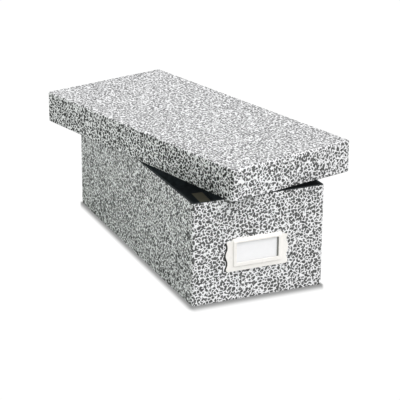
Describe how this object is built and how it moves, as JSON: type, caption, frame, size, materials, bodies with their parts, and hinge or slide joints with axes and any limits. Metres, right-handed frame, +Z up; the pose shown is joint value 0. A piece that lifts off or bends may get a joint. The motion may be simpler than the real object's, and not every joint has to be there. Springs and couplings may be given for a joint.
{
  "type": "index card file box",
  "caption": "Long paper-covered board box for index cards, with a stamped label holder on its front and a lift-off lid laid askew on the rim.",
  "frame": {"origin": "middle of the box's underside", "axes": "+X across the front towards the right, +Y from the front towards the back along the box, +Z up"},
  "size_m": [0.214, 0.333, 0.1344],
  "materials": {
    "patterned_paper": "satin paper with a black and white agate pattern, glued over grey board",
    "black_paper": "matt black lining paper",
    "enamelled_steel": "ivory enamel on stamped sheet steel",
    "white_card": "plain white card"
  },
  "bodies": {
    "root": {"box_tray": "patterned_paper", "box_wall_lining": "black_paper", "box_floor_lining": "black_paper", "label_holder": "enamelled_steel", "label_card": "white_card", "lid_tray": "patterned_paper", "lid_wall_lining": "black_paper", "lid_top_lining": "black_paper"}
  },
  "joints": []
}
